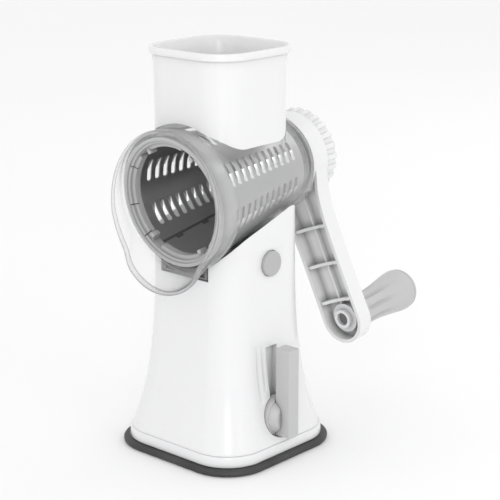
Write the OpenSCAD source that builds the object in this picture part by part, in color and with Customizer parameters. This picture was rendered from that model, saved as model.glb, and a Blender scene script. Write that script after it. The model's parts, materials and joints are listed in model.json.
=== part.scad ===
// Rotary drum grater: suction base, tower, tilted barrel, feed hopper and crank.
// Millimetres, +Z up. The origin is the middle of the base on the table.
// -Y is the mouth, +Y the crank side, +X the side with the button and the lever.

/* [Barrel] */
// Outside radius of the steel drum at its mouth
drum_radius = 43.4; // [41:0.2:46]
// How much the barrel and the drum narrow, in radius per length
drum_taper = 0.1286; // [0.1:0.002:0.14]
// Length of the steel drum
drum_length = 94; // [86:1:100]
// Slope of the barrel, mouth lower, in degrees
barrel_tilt = 6.5; // [4:0.5:8]
// Height of the barrel axis over the middle of the base
barrel_height = 186.5; // [182:0.5:192]
// Thickness of the clear barrel wall
housing_wall = 1.8; // [1.4:0.1:2.4]
// Gap between the drum and the barrel wall
drum_gap = 1.8; // [1.4:0.1:2.4]
// Thickness of the drum sheet
sheet_thick = 0.8; // [0.5:0.1:1.2]
// Width of one grating slot along the drum
slot_width = 3; // [2:0.2:4]
// Arc covered by one grating slot, in degrees
slot_arc = 23; // [16:1:28]
// Distance between two slots along the drum
slot_pitch = 6.9; // [5.5:0.1:7.4]
// Slots in one row along the drum
slots_per_row = 11; // [6:1:11]
// Rows of slots around the drum
slot_rows = 6; // [3:1:6]
// Angle between two rows of slots, in degrees
row_pitch = 45; // [36:1:46]
// Place of the first row at rest, in degrees from the top towards +X
first_row = -118.5; // [-130:0.5:-110]
// How far the drum's front ring reaches in from its edge
ring_depth = 6; // [4:0.5:8]

/* [Hood] */
// Slope of the hood's front edge, in degrees
hood_slope = 9.7; // [6:0.5:13]
// Distance from the barrel's front end to the hood edge at axis height
hood_reach = 9.1; // [9:0.5:14]
// Radius of the hood's lower lip
lip_radius = 38; // [35:1:42]
// How far the lip's centre lies below the barrel axis
lip_drop = 20; // [14:1:24]
// Thickness of the bead along the hood edge
bead_size = 2.6; // [2:0.2:4]

/* [Hopper] */
// Height of the hopper's rim above the table
hopper_top = 280; // [265:1:300]
// Half the hopper's width
hopper_half = 37.5; // [34:0.5:40]
// Corner radius of the hopper
hopper_corner = 22; // [14:1:26]
// Wall thickness of the hopper
hopper_wall = 2.2; // [1.6:0.1:3]
// How far the hopper's centre lies in front of the base's centre
hopper_shift = 4; // [0:0.5:6]
// How far the rim stands out from the hopper wall
rim_out = 2.8; // [1:0.2:5]
// Height of the rim band
rim_height = 4; // [2:0.5:8]
// Height of the clear collar between barrel and hopper, at the mouth
collar_front = 4.7; // [3:0.1:7]
// Height of the clear collar between barrel and hopper, at the crank
collar_rear = 11.3; // [8:0.1:14]

/* [Tower and base] */
// Half the width of the rubber pad
pad_half = 60; // [58:0.5:66]
// Corner radius of the rubber pad
pad_corner = 31; // [26:1:36]
// Height of the rubber rim
pad_thick = 4.5; // [4:0.1:6]
// Height of the tower's lower edge above the table
skirt_top = 12.4; // [12:0.1:14]
// Half the tower's width under the barrel
tower_half = 40; // [38:0.5:42]
// Corner radius of the tower under the barrel
tower_corner = 20; // [16:1:22]
// Thickness of the tower wall
tower_wall = 2.7; // [2.2:0.1:3]
// Clearance between the barrel and its saddle
saddle_gap = 0.4; // [0.3:0.1:0.8]
// Thickness of the saddle plate
saddle_thick = 4.4; // [3.6:0.2:5]
// How far the tower's top edge lies outside the barrel
saddle_edge = 4.6; // [3:0.1:5]
// Half the width of the notch under the barrel
notch_half = 22; // [21:0.5:26]

/* [Crank] */
// Distance from the barrel axis to the grip axis
crank_length = 123; // [105:1:135]
// Angle of the resting arm away from straight down, in degrees
crank_angle = 21; // [0:1:60]
// Radius of the crank hub
hub_radius = 30; // [26:0.5:34]
// Thickness of the crank hub along the axis
hub_thick = 15; // [12:0.5:18]
// Half the width of the crank arm
arm_half = 17.5; // [14:0.5:20]
// Thickness of the crank arm
arm_thick = 12; // [9:0.5:12]
// Wall thickness of the crank
arm_wall = 2.6; // [2:0.1:3.4]
// Radius of the clamp knob
knob_radius = 31; // [26:0.5:34]
// Thickness of the clamp knob
knob_thick = 9.6; // [8:0.2:14]
// Finger hollows around the clamp knob
knob_lobes = 24; // [16:1:28]

/* [Grip] */
// Length of the grip
grip_length = 62; // [54:1:70]
// Largest radius of the grip
grip_bulb = 15.3; // [13.5:0.1:18]
// Smallest radius of the grip
grip_waist = 11.6; // [10:0.1:13]
// Radius of the steel axle in the grip
axle_radius = 3.5; // [2.5:0.1:4]

/* [Lever and button] */
// Height of the lever pivot above the table
lever_z = 30; // [29:0.5:32]
// Radius of the lever disc
lever_disc = 13.7; // [12:0.1:15]
// Width of the lever bar
bar_width = 10.2; // [8:0.2:10.6]
// How far the lever bar stands out from its disc
bar_out = 12; // [8:0.5:15]
// Height of the lever bar's top above the pivot
bar_length = 50; // [38:1:56]
// How far the plunger rises when the lever is thrown
plunger_lift = 5; // [3:0.1:5]
// Radius of the release button
button_radius = 8.7; // [7:0.1:9.5]
// Place of the button along the tower, from the base's centre
button_y = 1.5; // [0:0.5:4]

/* [Fits] */
// Radial clearance of a turning or sliding fit
running_fit = 0.08; // [0.02:0.01:0.1]
// Radial clearance of a pressed or glued joint
tight_fit = 0.02; // [0.01:0.01:0.05]

/* [Hidden] */
$fn = 96;
housing_in = drum_radius + drum_gap;
housing_out = housing_in + housing_wall;
front_y = -drum_length / 2 - 3;
rear_y = drum_length / 2 + 5;
sleeve_end = front_y + 9;
sleeve_out = 2;
rear_out = rear_y + 3;
hub_y = rear_out + 4;
hub_end = hub_y + hub_thick;
knob_y = hub_end + 0.4;
knob_end = knob_y + knob_thick;
ring_in = drum_radius - ring_depth;
plug_out = -housing_wall - drum_gap - sheet_thick - tight_fit;
boss_radius = 9;
hex_radius = 8;
screw_radius = 3;
insert_radius = 5;
arm_end = hub_end - 1;
arm_start = arm_end - arm_thick;
grip_start = hub_end + 0.6;
grip_end = grip_start + grip_length;
cap_y = grip_end - 7;
hopper_in = hopper_half - hopper_wall;
inner_corner = hopper_corner - hopper_wall;
skirt_half = pad_half - 4;
foot_half = pad_half - 5;
plate_z = skirt_top - 2.8;
lever_face = pad_half - 9;
cam_offset = plunger_lift / sqrt(2);
cam_radius = 9;
shaft_radius = 4;
stem_radius = 4;
yoke_top = lever_z - plunger_lift / 2 + cam_radius + 0.4;
yoke_low = lever_z - plunger_lift / 2 - cam_radius - 1;
latch_z = barrel_height - housing_out - 3.5;
foot_low = latch_z - 12;
foot_side = 16;
wall_x = tower_half + 0.4;
boss_at = skirt_half - 20;
slot_top = lever_z + bar_length - 1.5;

// Square with round corners
module rounded(half, corner) {
  square([2 * half, 2 * (half - corner)], center = true);
  square([2 * (half - corner), 2 * half], center = true);
  for (sx = [-1, 1], sy = [-1, 1])
    translate([sx * (half - corner), sy * (half - corner)]) circle(corner);
}

// Frame of the tilted barrel: local Y runs along the barrel axis
module barrel() {
  translate([0, 0, barrel_height]) rotate([barrel_tilt, 0, 0]) children();
}

// Round bar along local Y
module rod(y0, y1, r) {
  translate([0, y0, 0]) rotate([-90, 0, 0]) cylinder(h = y1 - y0, r = r);
}

// Outside radius of the barrel at a place along its axis
function barrel_r(y) = housing_out - drum_taper * (y - front_y);

// Tapered round bar along local Y, that far outside the barrel's surface
module cone(y0, y1, out) {
  translate([0, y0, 0]) rotate([-90, 0, 0])
    cylinder(h = y1 - y0, r1 = barrel_r(y0) + out, r2 = barrel_r(y1) + out);
}

// Flat shape in X and Z, extruded along local Y
module slab(y0, y1) {
  translate([0, y1, 0]) rotate([90, 0, 0]) linear_extrude(y1 - y0) children();
}

// Round bar along X
module bar_x(x0, x1, r) {
  translate([x0, 0, 0]) rotate([0, 90, 0]) cylinder(h = x1 - x0, r = r);
}

// One level of the tower for the blended wall
module level(z, half, corner) {
  translate([0, 0, z]) linear_extrude(0.01) rounded(half, corner);
}

// Frame of the grip: local Y runs along the grip axis
module at_grip() {
  barrel() rotate([0, -crank_angle, 0]) translate([0, 0, -crank_length]) children();
}

module tower_outer() {
  hull() {
    $fn = 40;
    level(skirt_top, foot_half, pad_corner - 2);
    level(30, pad_half - 10.2, pad_corner - 4);
  }
  hull() {
    $fn = 40;
    level(30, pad_half - 10.2, pad_corner - 4);
    level(58, tower_half + 4.6, tower_corner + 5);
  }
  hull() {
    $fn = 40;
    level(58, tower_half + 4.6, tower_corner + 5);
    level(100, tower_half + 1, tower_corner + 1.5);
  }
  hull() {
    $fn = 40;
    level(100, tower_half + 1, tower_corner + 1.5);
    level(barrel_height - 14, tower_half, tower_corner);
  }
}

module tower_inner() {
  hull() {
    $fn = 40;
    level(skirt_top - 0.1, foot_half - tower_wall - 0.3, pad_corner - 5);
    level(40, pad_half - 13 - tower_wall, pad_corner - 8);
  }
  hull() {
    $fn = 40;
    level(40, pad_half - 13 - tower_wall, pad_corner - 8);
    level(80, tower_half + 1.8 - tower_wall, tower_corner);
  }
  hull() {
    $fn = 40;
    level(80, tower_half + 1.8 - tower_wall, tower_corner);
    level(barrel_height - 13, tower_half - tower_wall, tower_corner - 2);
  }
}

module tower_shell() {
  color([0.93, 0.93, 0.93]) difference() {
    tower_outer();
    difference() {
      tower_inner();
      barrel() cone(-90, 90, saddle_gap + saddle_thick);
      translate([lever_face - 10, 0, lever_z]) bar_x(0, 30, lever_disc + 3.6);
      for (sx = [-1, 1], sy = [-1, 1])
        translate([sx * boss_at, sy * boss_at, 0]) cylinder(h = 34, r = 4.5);
      translate([23, button_y - 8.5, latch_z - 8]) cube([2.5, 17, 23]);
      translate([lever_face - 14, -11, lever_z]) cube([8, 22, slot_top - lever_z + 3]);
    }
    barrel() cone(-90, 90, saddle_gap);
    barrel() cone(-90, sleeve_end + 0.4, sleeve_out + saddle_gap);
    difference() {
      barrel() cone(-90, 90, saddle_edge);
      translate([0, 0, 150]) cube([2 * tower_half - 6.4, 200, 300], center = true);
    }
    translate([lever_face - 7.5, 0, lever_z]) bar_x(0, 30, lever_disc + 1.2);
    translate([0, 0, lever_z]) bar_x(0, 60, shaft_radius + running_fit);
    for (sx = [-1, 1], sy = [-1, 1])
      translate([sx * boss_at, sy * boss_at, 0]) cylinder(h = 26, r = 1.5 + tight_fit);
    translate([0, button_y, latch_z]) bar_x(30, 60, button_radius + 0.4);
    translate([0, button_y, latch_z]) bar_x(20, 30, screw_radius + running_fit);
    translate([-foot_side - 0.6, -tower_half + 2, foot_low - 2])
      cube([2 * foot_side + 1.2, tower_half + 10.6, 60]);
    translate([-notch_half, -tower_half - 6, latch_z - 8]) cube([2 * notch_half, 13, 60]);
    translate([lever_face - 11, -5.6, lever_z]) cube([30, 11.2, slot_top - lever_z]);
  }
}

module base_skirt() {
  color([0.93, 0.93, 0.93]) difference() {
    translate([0, 0, pad_thick]) linear_extrude(skirt_top - pad_thick)
      rounded(skirt_half, pad_corner - 3);
    translate([0, 0, pad_thick - 1]) linear_extrude(skirt_top)
      rounded(skirt_half - 3, pad_corner - 6);
  }
}

module base_plate() {
  color([0.8, 0.8, 0.8]) difference() {
    union() {
      translate([0, 0, plate_z]) linear_extrude(skirt_top - plate_z)
        rounded(skirt_half - 3.05, pad_corner - 6.05);
      translate([0, 0, plate_z]) cylinder(h = yoke_low - 2.4 - plate_z, r = 8);
      translate([-12, -7, plate_z]) cube([4, 14, lever_z + 7 - plate_z]);
    }
    translate([0, 0, plate_z - 1]) cylinder(h = 20, r = stem_radius + running_fit);
    translate([0, 0, lever_z]) bar_x(-20, 0, shaft_radius + running_fit);
    for (sx = [-1, 1], sy = [-1, 1])
      translate([sx * boss_at, sy * boss_at, 0]) cylinder(h = 26, r = 1.7);
  }
}

module base_screws() {
  color([0.7, 0.7, 0.72]) for (sx = [-1, 1], sy = [-1, 1])
    translate([sx * boss_at, sy * boss_at, 0]) difference() {
      union() {
        translate([0, 0, plate_z - 1.6]) cylinder(h = 1.6, r = 3.1, $fn = 32);
        translate([0, 0, plate_z - 0.1]) cylinder(h = 14, r = 1.5, $fn = 32);
      }
      translate([-2, -0.35, plate_z - 2]) cube([4, 0.7, 1.2]);
      translate([-0.35, -2, plate_z - 2]) cube([0.7, 4, 1.2]);
    }
}

module suction_pad() {
  color([0.12, 0.12, 0.12]) difference() {
    linear_extrude(pad_thick) rounded(pad_half, pad_corner);
    translate([0, 0, 3]) linear_extrude(pad_thick) rounded(pad_half - 9, pad_corner - 9);
    translate([0, 0, -1]) linear_extrude(2) rounded(pad_half - 8, pad_corner - 8);
  }
}

module suction_lever() {
  color([0.62, 0.62, 0.62]) translate([0, 0, lever_z]) difference() {
    union() {
      bar_x(lever_face - 7, lever_face, lever_disc);
      intersection() {
        translate([lever_face - 0.5, 0, 0]) rotate([0, 90, 0])
          cylinder(h = 5.7, r1 = lever_disc - 0.4, r2 = lever_disc - 4.9);
        translate([lever_face - 1, -20, -20]) cube([10, 20, 40]);
      }
      translate([lever_face - 1, -bar_width / 2, -lever_disc + 3])
        cube([bar_out + 1, bar_width, 2 * lever_disc - 3]);
      translate([lever_face + 0.6, -bar_width / 2, 0])
        cube([bar_out - 0.6, bar_width, bar_length - 5]);
      translate([lever_face + 5.6, -bar_width / 2, 0])
        cube([bar_out - 5.6, bar_width, bar_length]);
      translate([lever_face + 5.6, bar_width / 2, bar_length - 5]) rotate([90, 0, 0])
        cylinder(h = bar_width, r = 5);
    }
    bar_x(lever_face - 8, lever_face - 2.5, shaft_radius + tight_fit);
    translate([lever_face - 2, -bar_width, lever_disc])
      cube([2.6, 2 * bar_width, bar_length]);
  }
}

module lever_shaft() {
  color([0.75, 0.75, 0.76]) translate([0, 0, lever_z])
    bar_x(-13, lever_face - 2.6, shaft_radius);
}

module lever_cam() {
  color([0.55, 0.55, 0.55]) translate([0, 0, lever_z]) difference() {
    translate([0, plunger_lift / 2, -plunger_lift / 2]) bar_x(-3, 3, cam_radius);
    bar_x(-4, 4, shaft_radius + tight_fit);
  }
}

module suction_plunger() {
  color([0.6, 0.6, 0.62]) union() {
    translate([0, 0, 3.05]) cylinder(h = 1.4, r = 14);
    translate([0, 0, 4]) cylinder(h = yoke_low - 5.5, r = stem_radius);
    difference() {
      translate([-3.5, -11, yoke_low - 2.2]) cube([7, 28, yoke_top - yoke_low + 5.2]);
      translate([-4, -8, yoke_low]) cube([8, 22, yoke_top - yoke_low]);
    }
  }
}

module release_button() {
  color([0.62, 0.62, 0.62]) translate([0, button_y, latch_z]) difference() {
    union() {
      bar_x(wall_x - 3.8, wall_x + 2.5, button_radius);
      bar_x(wall_x - 5.4, wall_x - 3.8, button_radius + 1.9);
    }
    bar_x(wall_x - 6, wall_x - 0.4, screw_radius + tight_fit);
  }
}

module latch_slide() {
  color([0.5, 0.5, 0.5]) union() {
    translate([0, button_y, latch_z]) bar_x(20, wall_x - 0.5, screw_radius);
    translate([foot_side + 3.5, button_y - 6.5, foot_low - 5.5]) cube([2.5, 13, 19]);
    translate([-foot_side - 3, button_y - 6.5, foot_low - 5.5])
      cube([2 * foot_side + 9, 13, 3]);
    translate([-foot_side - 3, button_y - 6.5, foot_low - 5.5]) cube([2.6, 13, 12]);
  }
}

module button_spring() {
  color([0.75, 0.75, 0.75]) translate([0, button_y, latch_z]) {
    for (i = [0:3])
      translate([29.4 + 1.5 * i, 0, 0]) rotate([0, 90, 0])
        rotate_extrude($fn = 32) translate([5, 0]) circle(0.45, $fn = 12);
    translate([29.4, 0, 5]) bar_x(0, 4.5, 0.4, $fn = 12);
  }
}

// Tapered body that the collar reaches up to and the hopper stands on
module collar(out) {
  translate([0, -60, 0]) rotate([-90, 0, 0])
    cylinder(h = 120, r1 = barrel_r(-60) + collar_front + out - 0.6,
             r2 = barrel_r(60) + collar_rear + out + 0.4);
}

module barrel_housing() {
  color([0.85, 0.88, 0.9, 0.35]) difference() {
    union() {
      barrel() cone(front_y, rear_out, 0);
      intersection() {
        translate([0, -hopper_shift, barrel_height + 16]) linear_extrude(60)
          rounded(hopper_half, hopper_corner);
        barrel() collar(0);
      }
    }
    barrel() cone(front_y - 1, rear_y, -housing_wall);
    barrel() rod(0, 90, 12 + tight_fit);
    translate([0, -hopper_shift, barrel_height]) linear_extrude(90)
      rounded(hopper_in, inner_corner);
  }
}

// Two discs in the slanted plane of the hood's edge
module hood_edge(grow, y0, y1) {
  translate([0, front_y - hood_reach, 0]) rotate([-hood_slope, 0, 0]) {
    rod(y0, y1, housing_out + 0.5 + grow, $fn = 48);
    translate([0, 0, -lip_drop]) rod(y0, y1, lip_radius + grow, $fn = 48);
  }
}

module front_hood() {
  color([0.85, 0.88, 0.9, 0.35]) barrel() difference() {
    union() {
      cone(front_y - 0.6, sleeve_end, sleeve_out);
      hull() {
        rod(front_y + 1, front_y + 1.1, housing_out + 1.6, $fn = 48);
        hood_edge(0, 0, 0.1);
      }
      hull() hood_edge(bead_size / 2 - 0.4, -bead_size / 2, bead_size / 2);
    }
    cone(front_y - 0.05, sleeve_end + 1, tight_fit);
    hull() {
      rod(front_y + 1, front_y + 1.1, housing_out - 0.6, $fn = 48);
      hood_edge(-1.9, -4, -3.9);
    }
  }
}

module feed_hopper() {
  color([0.93, 0.93, 0.93]) difference() {
    translate([0, -hopper_shift, 0]) {
      translate([0, 0, barrel_height + 17]) linear_extrude(hopper_top - barrel_height - 17)
        rounded(hopper_half, hopper_corner);
      translate([0, 0, hopper_top - rim_height]) linear_extrude(rim_height)
        rounded(hopper_half + rim_out, hopper_corner + rim_out);
      translate([0, 0, hopper_top - rim_height - 2]) linear_extrude(2)
        rounded(hopper_half + rim_out - 1, hopper_corner + rim_out - 1);
    }
    barrel() collar(tight_fit);
    translate([0, -hopper_shift, barrel_height]) linear_extrude(190)
      rounded(hopper_in, inner_corner);
  }
}

module housing_foot() {
  color([0.62, 0.62, 0.62]) difference() {
    union() {
      translate([-foot_side, -tower_half + 3, foot_low])
        cube([2 * foot_side, tower_half + 9, 32]);
      translate([-notch_half + 1.5, -tower_half + 0.6, latch_z - 7])
        cube([2 * notch_half - 3, 3.4, 22]);
    }
    barrel() cone(-90, 90, tight_fit);
    barrel() cone(-90, sleeve_end + 0.4, sleeve_out + saddle_gap);
  }
}

module rear_bush() {
  color([0.4, 0.4, 0.4]) barrel() difference() {
    union() {
      rod(rear_y - 1.5, rear_y, 14);
      rod(rear_y - 0.1, rear_out + 1, 12);
    }
    rod(rear_y - 3, rear_out + 3, boss_radius + running_fit);
  }
}

module arm_shape(half) {
  rotate(crank_angle) {
    translate([-half, -crank_length]) square([2 * half, crank_length]);
    polygon([[-half - 8, -12], [half + 8, -12], [half + 3, -30], [half + 1, -42],
             [half, -56], [-half, -56], [-half - 1, -42], [-half - 3, -30]]);
    translate([0, -crank_length]) circle(half);
  }
}

module arm_ribs() {
  rotate(crank_angle) {
    for (d = [1:3])
      translate([-arm_half - 4, -crank_length * (0.222 + 0.222 * d) - 1.1])
        square([2 * arm_half + 8, 2.2]);
    translate([-0.9, -crank_length]) square([1.8, crank_length]);
    translate([0, -crank_length]) circle(9);
  }
}

module crank_arm() {
  color([0.93, 0.93, 0.93]) barrel() difference() {
    union() {
      rod(hub_y, hub_end, hub_radius);
      slab(arm_start, arm_end) arm_shape(arm_half);
    }
    difference() {
      slab(arm_start - 5, arm_end - arm_wall) arm_shape(arm_half - arm_wall);
      rod(hub_y - 1, hub_end, hub_radius);
      slab(arm_start + 2.5, arm_end) arm_ribs();
    }
    difference() {
      rod(hub_y - 1, hub_end - 3, hub_radius - arm_wall);
      rod(hub_y - 2, hub_end, 13);
    }
    rod(hub_y - 1, hub_y + 6.8, hex_radius + 0.4, $fn = 6);
    rod(hub_y, hub_end + 1, screw_radius + 0.5);
    rotate([0, -crank_angle, 0]) translate([0, 0, -crank_length])
      rod(arm_start - 1, arm_end + 1, axle_radius + tight_fit);
  }
}

module clamp_knob() {
  color([0.93, 0.93, 0.93]) barrel() difference() {
    rod(knob_y, knob_end, knob_radius);
    for (i = [0:knob_lobes - 1])
      rotate([0, i * 360 / knob_lobes, 0]) translate([0, 0, knob_radius + 1.5])
        rod(knob_y - 1, knob_end + 1, 2.7, $fn = 32);
    rod(knob_y - 1, knob_end - 2.4, screw_radius + tight_fit);
    difference() {
      rod(knob_end - 1.6, knob_end + 1, knob_radius - 7);
      rod(knob_end - 3, knob_end - 0.8, 9);
    }
  }
}

module clamp_screw() {
  color([0.7, 0.7, 0.72]) barrel() rod(drum_length / 2 + 2, knob_end - 2.5, screw_radius);
}

module grip_axle() {
  color([0.7, 0.7, 0.72]) at_grip() {
    rod(arm_start + 3, cap_y + 1, axle_radius);
    rod(cap_y + 0.9, cap_y + 3, 6);
  }
}

module grip_sleeve() {
  waist = grip_waist;
  bulb = grip_bulb;
  len = cap_y - grip_start;
  color([0.62, 0.62, 0.62]) at_grip() difference() {
    translate([0, grip_start, 0]) rotate([-90, 0, 0]) rotate_extrude()
      polygon([[0, 0], [waist - 0.6, 0], [waist + 0.4, 1], [waist + 0.2, len * 0.08],
               [waist, len * 0.18], [waist + 0.15, len * 0.3], [waist + 0.7, len * 0.42],
               [waist + 1.6, len * 0.54], [waist + 2.6, len * 0.65], [bulb - 0.25, len * 0.76],
               [bulb, len * 0.85], [bulb - 0.25, len * 0.93], [bulb - 0.8, len], [0, len]]);
    for (i = [0:7])
      rotate([0, i * 45, 0]) translate([0, 0, waist + 2.1])
        rod(grip_start + 3, grip_start + len * 0.6, 3, $fn = 24);
    rod(grip_start - 1, cap_y + 1, axle_radius + running_fit);
  }
}

module grip_cap() {
  bulb = grip_bulb;
  color([0.62, 0.62, 0.62]) at_grip() difference() {
    translate([0, cap_y, 0]) rotate([-90, 0, 0]) rotate_extrude()
      polygon([[0, 0], [bulb - 0.9, 0], [bulb - 1.5, 1.6], [bulb - 2.7, 3.2],
               [bulb - 4.6, 4.9], [bulb - 7.4, 6.2], [bulb - 10.5, 6.9], [0, 7]]);
    rod(cap_y - 1, cap_y + 3.6, 6.6);
  }
}

module drum_sheet() {
  half = drum_length / 2;
  sheet_out = -housing_wall - drum_gap;
  color([0.75, 0.75, 0.76]) barrel() difference() {
    cone(-half, half, sheet_out);
    cone(-half - 1, half + 1, sheet_out - sheet_thick);
    for (row = [0:slot_rows - 1], i = [0:slots_per_row - 1]) {
      y = -half + 15 + slot_pitch * i;
      r = barrel_r(y) + sheet_out;
      rotate([0, first_row + row_pitch * row, 0]) translate([0, y, r])
        cube([2 * r * sin(slot_arc / 2), slot_width, 10], center = true);
    }
  }
}

module drum_front_ring() {
  color([0.75, 0.75, 0.75]) barrel() difference() {
    union() {
      rod(front_y - 2, -drum_length / 2, drum_radius + 1);
      cone(-drum_length / 2 - 0.1, -drum_length / 2 + 4, plug_out);
    }
    rod(front_y - 3, -drum_length / 2 + 5, ring_in);
    rod(front_y - 3, front_y, ring_in + 2.4);
    for (i = [0:3])
      rotate([0, 45 + 90 * i, 0]) translate([0, front_y, ring_in + 1.4])
        cube([7, 2.4, 6], center = true);
  }
}

module drum_rear_hub() {
  half = drum_length / 2;
  color([0.75, 0.75, 0.75]) barrel() difference() {
    union() {
      cone(half - 4, half, plug_out);
      rod(half - 1, rear_out + 2, boss_radius);
      rod(rear_out + 1, hub_y + 6, hex_radius, $fn = 6);
    }
    rod(half - 5, hub_y + 7, insert_radius + tight_fit);
    difference() {
      rod(half - 5, half - 2, barrel_r(half) - 9);
      rod(half - 6, half, 13);
      for (a = [0, 60, 120])
        rotate([0, a, 0]) translate([0, half - 3, 0]) cube([90, 5, 3], center = true);
    }
  }
}

module drive_insert() {
  color([0.7, 0.65, 0.4]) barrel() difference() {
    rod(drum_length / 2 - 4, hub_y + 6, insert_radius);
    rod(drum_length / 2 - 5, hub_y + 7, screw_radius + running_fit);
  }
}

tower_shell();
base_skirt();
base_plate();
base_screws();
suction_pad();
suction_lever();
lever_shaft();
lever_cam();
suction_plunger();
release_button();
latch_slide();
button_spring();
barrel_housing();
front_hood();
feed_hopper();
housing_foot();
rear_bush();
crank_arm();
clamp_knob();
clamp_screw();
grip_axle();
grip_sleeve();
grip_cap();
drum_sheet();
drum_front_ring();
drum_rear_hub();
drive_insert();
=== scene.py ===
# Rotary drum grater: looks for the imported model. Metres, +Z up, -Y is the mouth.
import json
import math

import bmesh
import bpy
from mathutils import Matrix, Vector


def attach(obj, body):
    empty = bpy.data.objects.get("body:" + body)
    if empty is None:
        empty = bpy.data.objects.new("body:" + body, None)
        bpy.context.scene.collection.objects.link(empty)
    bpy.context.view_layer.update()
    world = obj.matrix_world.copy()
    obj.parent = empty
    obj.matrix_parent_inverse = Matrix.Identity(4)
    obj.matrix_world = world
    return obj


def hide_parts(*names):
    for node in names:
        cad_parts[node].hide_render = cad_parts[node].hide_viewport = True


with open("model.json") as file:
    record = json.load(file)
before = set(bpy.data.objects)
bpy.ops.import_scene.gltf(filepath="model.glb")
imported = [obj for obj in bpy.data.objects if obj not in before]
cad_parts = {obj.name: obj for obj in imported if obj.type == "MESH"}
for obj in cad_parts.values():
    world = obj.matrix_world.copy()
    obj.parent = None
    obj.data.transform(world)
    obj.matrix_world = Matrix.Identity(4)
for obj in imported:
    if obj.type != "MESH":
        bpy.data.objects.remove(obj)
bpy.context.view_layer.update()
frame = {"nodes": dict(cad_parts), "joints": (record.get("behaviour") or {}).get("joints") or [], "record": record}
nodes = frame["nodes"]
mm = 0.001

joints = {joint["name"]: joint for joint in frame["joints"]}
crankAxis = Vector(joints["crank_turn"]["axis"])
crankPoint = Vector(joints["crank_turn"]["pos_m"])
gripPoint = Vector(joints["grip_spin"]["pos_m"])
barrelTilt = math.atan2(crankAxis.z, crankAxis.y)
# local Y of barrelPlace runs along the barrel, local -Z of armPlace points down the arm
barrelPlace = Matrix.Translation(crankPoint) @ Matrix.Rotation(barrelTilt, 4, "X")
gripLocal = barrelPlace.inverted() @ gripPoint
crankLength = math.hypot(gripLocal.x, gripLocal.z) / mm
crankAngle = math.atan2(gripLocal.x, -gripLocal.z)
armPlace = barrelPlace @ Matrix.Rotation(-crankAngle, 4, "Y")
gripPlace = armPlace @ Matrix.Translation((0, 0, -crankLength * mm))


class Value:
    def __init__(self, tree, socket):
        self.tree = tree
        self.socket = socket

    def combine(self, operation, first, second, clamp=False):
        node = self.tree.nodes.new("ShaderNodeMath")
        node.operation = operation
        node.use_clamp = clamp
        for slot, item in zip(node.inputs, (first, second)):
            if isinstance(item, Value):
                self.tree.links.new(item.socket, slot)
            else:
                slot.default_value = item
        return Value(self.tree, node.outputs[0])

    def __add__(self, other):
        return self.combine("ADD", self, other)

    def __radd__(self, other):
        return self.combine("ADD", other, self)

    def __sub__(self, other):
        return self.combine("SUBTRACT", self, other)

    def __rsub__(self, other):
        return self.combine("SUBTRACT", other, self)

    def __mul__(self, other):
        return self.combine("MULTIPLY", self, other)

    def __rmul__(self, other):
        return self.combine("MULTIPLY", other, self)

    def __truediv__(self, other):
        return self.combine("DIVIDE", self, other)

    def __rtruediv__(self, other):
        return self.combine("DIVIDE", other, self)

    def __pow__(self, other):
        return self.combine("POWER", self, other)

    def clamped(self):
        return self.combine("ADD", self, 0.0, clamp=True)

    def band(self, low, high):
        return self.combine("DIVIDE", self - low, high - low, clamp=True)


class Finish:
    def __init__(self, name, **constants):
        self.material = bpy.data.materials.new(name)
        self.material.use_nodes = True
        self.tree = self.material.node_tree
        self.tree.nodes.clear()
        self.output = self.tree.nodes.new("ShaderNodeOutputMaterial")
        self.shader = self.tree.nodes.new("ShaderNodeBsdfPrincipled")
        self.tree.links.new(self.shader.outputs[0], self.output.inputs[0])
        for socketName, value in constants.items():
            self.shader.inputs[socketName.replace("_", " ")].default_value = value
        self.place = self.add("ShaderNodeTexCoord", {}, {}).outputs["Object"]

    def add(self, kind, settings, inputs):
        node = self.tree.nodes.new(kind)
        for key, value in settings.items():
            setattr(node, key, value)
        for key, value in inputs.items():
            self.feed(node.inputs[key], value)
        return node

    def feed(self, slot, value):
        if isinstance(value, Value):
            self.tree.links.new(value.socket, slot)
        elif isinstance(value, bpy.types.NodeSocket):
            self.tree.links.new(value, slot)
        else:
            slot.default_value = value

    def value(self, socket):
        return Value(self.tree, socket)

    def stretched(self, scale, turn=(0, 0, 0), centre=(0, 0, 0)):
        mapping = self.add("ShaderNodeMapping", {"vector_type": "TEXTURE"},
                           {"Vector": self.place, "Location": centre, "Rotation": turn})
        return self.add("ShaderNodeMapping", {}, {"Vector": mapping.outputs[0], "Scale": scale}).outputs[0]

    def noise(self, scale, detail=3, vector=None, roughness=0.5):
        node = self.add("ShaderNodeTexNoise", {}, {"Vector": vector or self.place, "Scale": scale,
                                                   "Detail": detail, "Roughness": roughness})
        return self.value(node.outputs["Fac"])

    def hollows(self, reach):
        settings = {"samples": 12, "only_local": True}
        return self.value(self.add("ShaderNodeAmbientOcclusion", settings, {"Distance": reach}).outputs["AO"])

    def blend(self, factor, first, second):
        # the colour sockets of a Mix node are its inputs 6 and 7 and its output 2
        return self.add("ShaderNodeMix", {"data_type": "RGBA"}, {0: factor, 6: first, 7: second}).outputs[2]

    def bump(self, height, strength, distance):
        node = self.add("ShaderNodeBump", {}, {"Height": height, "Strength": strength, "Distance": distance})
        self.set("Normal", node.outputs[0])

    def set(self, socketName, value):
        self.feed(self.shader.inputs[socketName], value)


def grey(level, tint=0.0):
    return (level - tint * 0.3, level, level + tint, 1)


# how far the painted shade in corners and creases reaches in metres, where it starts and how dark it is
cornerShade = {"reach": 0.006, "start": 0.1, "level": 0.35}


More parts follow.
